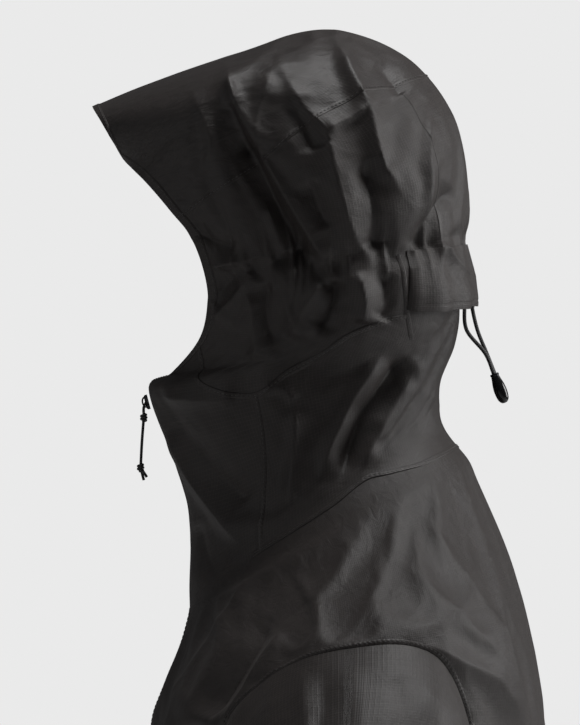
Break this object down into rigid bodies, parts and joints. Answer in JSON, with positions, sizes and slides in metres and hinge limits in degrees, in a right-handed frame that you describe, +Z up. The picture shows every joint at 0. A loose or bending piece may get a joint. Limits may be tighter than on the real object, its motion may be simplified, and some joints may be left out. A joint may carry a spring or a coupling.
{
  "type": "hooded hardshell jacket",
  "caption": "Hooded waterproof hardshell jacket, hood up and front closed, with a stiff-brimmed adjustable hood, full front zip, hand pockets, underarm zips and cuff tabs.",
  "frame": {"origin": "under the middle of the jacket, at the height of its hem: halfway from sleeve to sleeve and from the brim's front edge to the upper back", "axes": "+Z up the wearer's back to the hood, -Y the way the wearer faces, +X the wearer's left"},
  "size_m": [0.8444, 0.29, 0.974],
  "materials": {
    "shell_fabric": "matte",
    "lining": "matte",
    "cord": "matte",
    "zip_film": "satin",
    "plastic": "satin",
    "webbing": "matte"
  },
  "bodies": {
    "jacket": {"front_panel_left": "shell_fabric", "front_panel_right": "shell_fabric", "back_panel": "shell_fabric", "neck_panel": "shell_fabric", "chin_panel_left": "shell_fabric", "chin_panel_right": "shell_fabric", "hood_side_panel_left": "shell_fabric", "hood_side_panel_right": "shell_fabric", "hood_back_panel": "shell_fabric", "hood_top_panel": "shell_fabric", "brim_stiffener": "lining", "hood_adjuster_flap": "shell_fabric", "hood_halo_cord": "cord", "hood_cord_lock": "plastic", "zip_tape_left": "zip_film", "zip_tape_right": "zip_film", "zip_coil_left": "plastic", "zip_coil_right": "plastic", "storm_flap": "shell_fabric", "zip_box": "plastic", "zip_garage": "lining", "chin_guard_left": "lining", "chin_guard_right": "lining", "hang_loop": "webbing", "neck_label": "lining", "sleeve_cap_left": "shell_fabric", "sleeve_cap_right": "shell_fabric", "pocket_zip_left": "zip_film", "pocket_zip_right": "zip_film", "pocket_bag_left": "lining", "pocket_bag_right": "lining", "pit_zip_left": "zip_film", "pit_zip_right": "zip_film", "hem_drawcord": "cord", "hem_cord_lock_left": "plastic", "hem_cord_lock_right": "plastic"},
    "sleeve_upper_left": {"upper_sleeve_left": "shell_fabric", "elbow_panel_left": "shell_fabric"},
    "sleeve_upper_right": {"upper_sleeve_right": "shell_fabric", "elbow_panel_right": "shell_fabric"},
    "sleeve_lower_left": {"forearm_sleeve_left": "shell_fabric"},
    "sleeve_lower_right": {"forearm_sleeve_right": "shell_fabric"},
    "cuff_tab_l": {"cuff_tab_left": "plastic"},
    "cuff_tab_r": {"cuff_tab_right": "plastic"},
    "front_slider": {"zip_slider": "plastic"},
    "front_pull": {"zip_pull_cord": "cord"},
    "hood_tail": {"hood_cord_tail": "cord", "hood_cord_end": "plastic"},
    "hood_plunger": {"hood_lock_button": "plastic"},
    "hem_plunger_left": {"hem_lock_button_left": "plastic"},
    "hem_plunger_right": {"hem_lock_button_right": "plastic"},
    "pocket_slider_l": {"pocket_slider_left": "plastic"},
    "pocket_slider_r": {"pocket_slider_right": "plastic"},
    "pit_slider_l": {"pit_slider_left": "plastic"},
    "pit_slider_r": {"pit_slider_right": "plastic"}
  },
  "joints": [
    {"name": "shoulder_left", "type": "hinge", "parent": "jacket", "child": "sleeve_upper_left", "pos_m": [0.195, 0.01496, 0.494], "axis": [0, -1, 0], "range_deg": [0, 30], "deforming": ["sleeve_cap_left"]},
    {"name": "shoulder_right", "type": "hinge", "parent": "jacket", "child": "sleeve_upper_right", "pos_m": [-0.195, 0.01496, 0.494], "axis": [0, 1, 0], "range_deg": [0, 30], "deforming": ["sleeve_cap_right"]},
    {"name": "elbow_left", "type": "hinge", "parent": "sleeve_upper_left", "child": "sleeve_lower_left", "pos_m": [0.32818, 0.01496, 0.27218], "axis": [-0.7054, 0.6167, -0.3495], "range_deg": [0, 50], "deforming": ["elbow_panel_left"]},
    {"name": "elbow_right", "type": "hinge", "parent": "sleeve_upper_right", "child": "sleeve_lower_right", "pos_m": [-0.32818, 0.01496, 0.27218], "axis": [-0.7054, -0.6167, 0.3495], "range_deg": [0, 50], "deforming": ["elbow_panel_right"]},
    {"name": "cuff_tab_peel_left", "type": "hinge", "parent": "sleeve_lower_left", "child": "cuff_tab_l", "pos_m": [0.41834, -0.03215, 0.06973], "axis": [0.2, -0.2999, -0.9328], "range_deg": [0, 35]},
    {"name": "cuff_tab_peel_right", "type": "hinge", "parent": "sleeve_lower_right", "child": "cuff_tab_r", "pos_m": [-0.41834, -0.03215, 0.06973], "axis": [0.2, 0.2999, 0.9328], "range_deg": [0, 35]},
    {"name": "front_zip_slide", "type": "slide", "parent": "jacket", "child": "front_slider", "axis": [0, 0.3374, -0.9413], "range_m": [0, 0.018]},
    {"name": "zip_pull_swing", "type": "hinge", "parent": "front_slider", "child": "front_pull", "pos_m": [0, -0.1135, 0.73533], "axis": [1, 0, 0], "range_deg": [-55, 6]},
    {"name": "hood_cord_swing", "type": "hinge", "parent": "jacket", "child": "hood_tail", "pos_m": [0, 0.09496, 0.797], "axis": [1, 0, 0], "range_deg": [-5, 30]},
    {"name": "hood_lock_press", "type": "slide", "parent": "jacket", "child": "hood_plunger", "axis": [0, 0.2021, 0.9794], "range_m": [0, 0.0028], "stiffness_N_per_m": 120},
    {"name": "hem_lock_press_left", "type": "slide", "parent": "jacket", "child": "hem_plunger_left", "axis": [0, -1, 0], "range_m": [0, 0.003], "stiffness_N_per_m": 120},
    {"name": "hem_lock_press_right", "type": "slide", "parent": "jacket", "child": "hem_plunger_right", "axis": [0, -1, 0], "range_m": [0, 0.003], "stiffness_N_per_m": 120},
    {"name": "pocket_zip_slide_left", "type": "slide", "parent": "jacket", "child": "pocket_slider_l", "axis": [0.0146, 0.0031, -0.9999], "range_m": [0, 0.14]},
    {"name": "pocket_zip_slide_right", "type": "slide", "parent": "jacket", "child": "pocket_slider_r", "axis": [-0.0146, 0.0031, -0.9999], "range_m": [0, 0.14]},
    {"name": "pit_zip_slide_left", "type": "slide", "parent": "jacket", "child": "pit_slider_l", "axis": [0.0013, -0.0267, -0.9996], "range_m": [0, 0.115]},
    {"name": "pit_zip_slide_right", "type": "slide", "parent": "jacket", "child": "pit_slider_r", "axis": [-0.0013, -0.0267, -0.9996], "range_m": [0, 0.115]}
  ]
}
